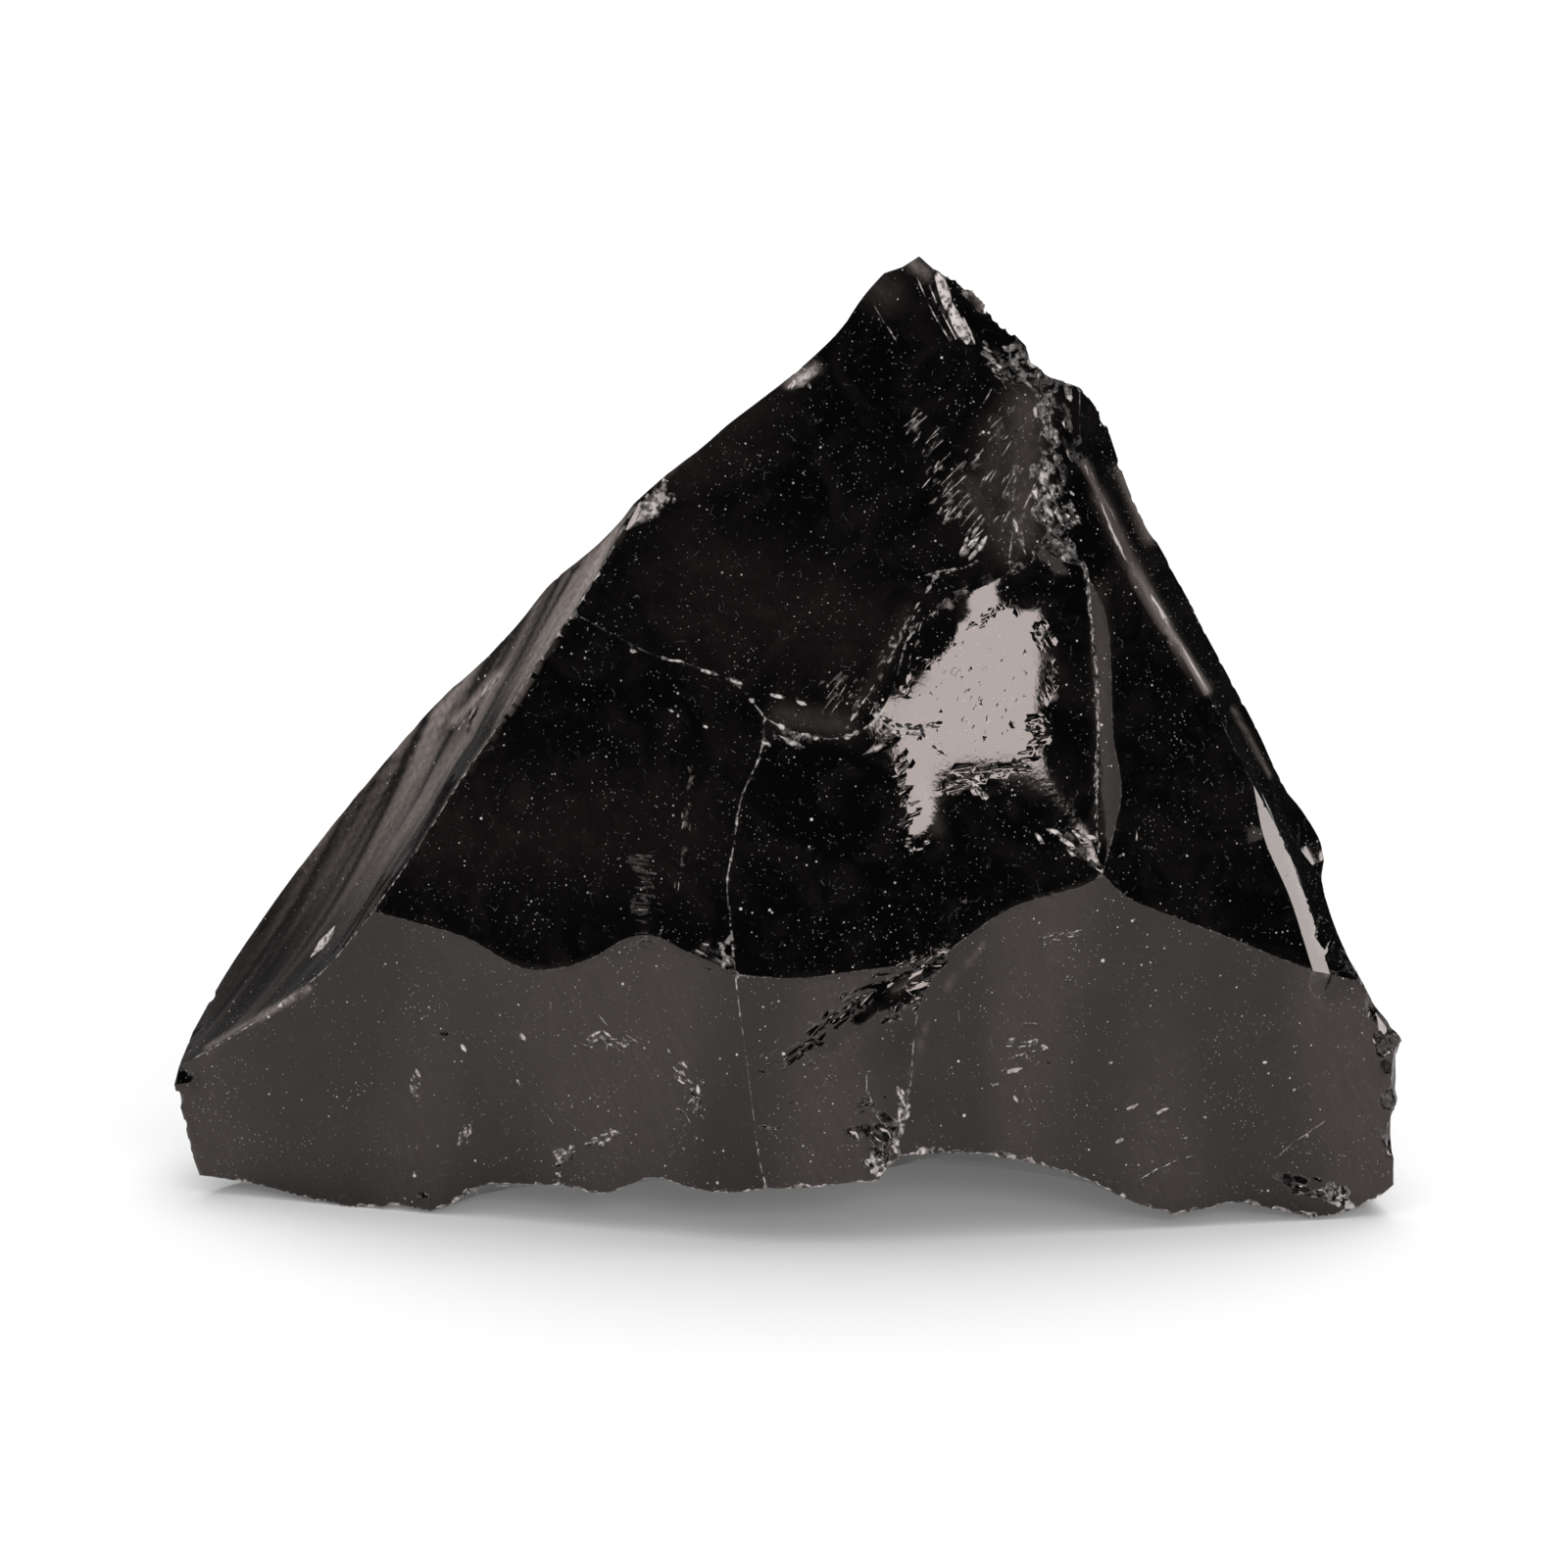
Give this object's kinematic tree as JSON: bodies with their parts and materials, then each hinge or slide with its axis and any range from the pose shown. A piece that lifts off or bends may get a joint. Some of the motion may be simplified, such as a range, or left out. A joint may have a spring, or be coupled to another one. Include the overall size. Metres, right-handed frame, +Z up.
{
  "type": "obsidian chunk",
  "caption": "Chunk of black obsidian with glassy scars, a sharp crest and thin chipped edges, standing on a broken base.",
  "frame": {"origin": "on the surface it rests on, under the middle of the chunk's box", "axes": "+Z up, -Y towards the broad front scars, +X to the right seen from the front"},
  "size_m": [0.0786, 0.0442, 0.0613],
  "materials": {
    "obsidian": "natural broken glass, mirror bright on the large scars, satin on crushed edges, with fine dust"
  },
  "bodies": {
    "root": {"obsidian_chunk": "obsidian"}
  },
  "joints": []
}
